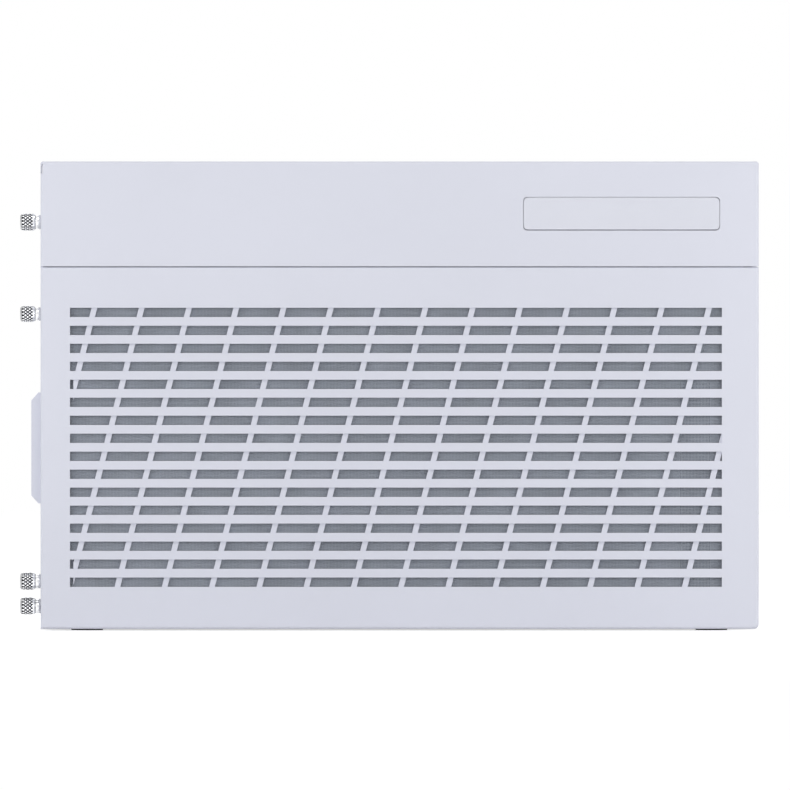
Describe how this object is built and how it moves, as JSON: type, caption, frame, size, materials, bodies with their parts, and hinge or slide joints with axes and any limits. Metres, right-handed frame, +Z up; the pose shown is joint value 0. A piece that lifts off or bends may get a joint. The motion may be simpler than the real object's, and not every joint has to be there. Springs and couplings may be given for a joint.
{
  "type": "computer case",
  "caption": "Compact white desktop computer case with a slotted, filtered side panel, lift-off covers held by thumbscrews, a flush port door and a sliding board tray.",
  "frame": {"origin": "middle of the footprint, thumbscrews included, on the surface that the pads stand on", "axes": "+Z up, +X towards the front, -Y out of the slotted side"},
  "size_m": [0.4124, 0.24, 0.2618],
  "materials": {
    "white_paint": "satin powder coat",
    "rib_paint": "satin powder coat",
    "chassis_paint": "fine textured powder coat",
    "fascia_plastic": "smooth moulded",
    "button_metal": "satin anodised",
    "fan_plastic": "moulded",
    "filter_plastic": "moulded",
    "filter_net": "fine square weave",
    "nickel": "knurled, nickel plated",
    "screw_steel": "zinc plated",
    "standoff_brass": "turned",
    "port_steel": "pressed",
    "jack_plastic": "moulded",
    "board_laminate": "lacquered",
    "pad_rubber": "matt"
  },
  "bodies": {
    "chassis": {"floor_pan": "chassis_paint", "rear_wall": "chassis_paint", "front_wall": "chassis_paint", "left_rail": "chassis_paint", "right_rail": "chassis_paint", "psu_shelf": "chassis_paint", "left_tray_guide": "chassis_paint", "right_tray_guide": "chassis_paint", "drive_bracket": "chassis_paint", "fan_frame": "fan_plastic", "fan_screws": "screw_steel", "front_fascia": "fascia_plastic", "power_switch": "jack_plastic", "io_bracket": "chassis_paint", "io_board": "board_laminate", "rear_usb_port": "port_steel", "front_usb_port": "port_steel", "slim_usb_port": "port_steel", "audio_jack": "jack_plastic", "rear_left_foot": "pad_rubber", "rear_right_foot": "pad_rubber", "front_left_foot": "pad_rubber", "front_right_foot": "pad_rubber"},
    "left_panel": {"left_panel": "white_paint", "vent_ribs": "rib_paint", "filter_frame": "filter_plastic", "filter_mesh": "filter_net"},
    "right_panel": {"right_panel": "white_paint"},
    "top_cover": {"top_cover": "white_paint", "door_frame": "fascia_plastic"},
    "io_door": {"io_door": "fascia_plastic"},
    "board_tray": {"board_tray": "chassis_paint", "board_standoffs": "standoff_brass", "slot_covers": "chassis_paint", "slot_screws": "screw_steel"},
    "fan_rotor": {"fan_rotor": "fan_plastic"},
    "power_button": {"power_button": "button_metal"},
    "left_cover_screw": {"left_cover_screw": "nickel"},
    "right_cover_screw": {"right_cover_screw": "nickel"},
    "left_upper_panel_screw": {"left_upper_panel_screw": "nickel"},
    "right_upper_panel_screw": {"right_upper_panel_screw": "nickel"},
    "left_lower_panel_screw": {"left_lower_panel_screw": "nickel"},
    "right_lower_panel_screw": {"right_lower_panel_screw": "nickel"},
    "left_tray_screw": {"left_tray_screw": "nickel"},
    "right_tray_screw": {"right_tray_screw": "nickel"}
  },
  "joints": [
    {"name": "left_panel_slide", "type": "slide", "parent": "chassis", "child": "left_panel", "axis": [-1, 0, 0], "range_m": [0, 0.42]},
    {"name": "right_panel_slide", "type": "slide", "parent": "chassis", "child": "right_panel", "axis": [-1, 0, 0], "range_m": [0, 0.42]},
    {"name": "top_cover_slide", "type": "slide", "parent": "chassis", "child": "top_cover", "axis": [-1, 0, 0], "range_m": [0, 0.42]},
    {"name": "board_tray_slide", "type": "slide", "parent": "chassis", "child": "board_tray", "axis": [-1, 0, 0], "range_m": [0, 0.2]},
    {"name": "io_door_hinge", "type": "hinge", "parent": "top_cover", "child": "io_door", "pos_m": [0.1296, -0.1183, 0.2279], "axis": [1, 0, 0], "range_deg": [0, 90]},
    {"name": "fan_spin", "type": "hinge", "parent": "chassis", "child": "fan_rotor", "pos_m": [0.18, 0, 0.0788], "axis": [1, 0, 0], "continuous": true},
    {"name": "power_button_press", "type": "slide", "parent": "chassis", "child": "power_button", "axis": [-1, 0, 0], "range_m": [0, 0.0018], "stiffness_N_per_m": 900},
    {"name": "left_cover_screw_turn", "type": "hinge", "parent": "top_cover", "child": "left_cover_screw", "pos_m": [-0.1948, -0.1075, 0.2284], "axis": [1, 0, 0], "continuous": true},
    {"name": "right_cover_screw_turn", "type": "hinge", "parent": "top_cover", "child": "right_cover_screw", "pos_m": [-0.1948, 0.1075, 0.2284], "axis": [1, 0, 0], "continuous": true},
    {"name": "left_upper_panel_screw_turn", "type": "hinge", "parent": "left_panel", "child": "left_upper_panel_screw", "pos_m": [-0.1948, -0.1075, 0.1768], "axis": [1, 0, 0], "continuous": true},
    {"name": "right_upper_panel_screw_turn", "type": "hinge", "parent": "right_panel", "child": "right_upper_panel_screw", "pos_m": [-0.1948, 0.1075, 0.1768], "axis": [1, 0, 0], "continuous": true},
    {"name": "left_lower_panel_screw_turn", "type": "hinge", "parent": "left_panel", "child": "left_lower_panel_screw", "pos_m": [-0.1948, -0.1075, 0.0269], "axis": [1, 0, 0], "continuous": true},
    {"name": "right_lower_panel_screw_turn", "type": "hinge", "parent": "right_panel", "child": "right_lower_panel_screw", "pos_m": [-0.1948, 0.1075, 0.0269], "axis": [1, 0, 0], "continuous": true},
    {"name": "left_tray_screw_turn", "type": "hinge", "parent": "board_tray", "child": "left_tray_screw", "pos_m": [-0.1948, -0.1075, 0.0129], "axis": [1, 0, 0], "continuous": true},
    {"name": "right_tray_screw_turn", "type": "hinge", "parent": "board_tray", "child": "right_tray_screw", "pos_m": [-0.1948, 0.1075, 0.0129], "axis": [1, 0, 0], "continuous": true}
  ]
}
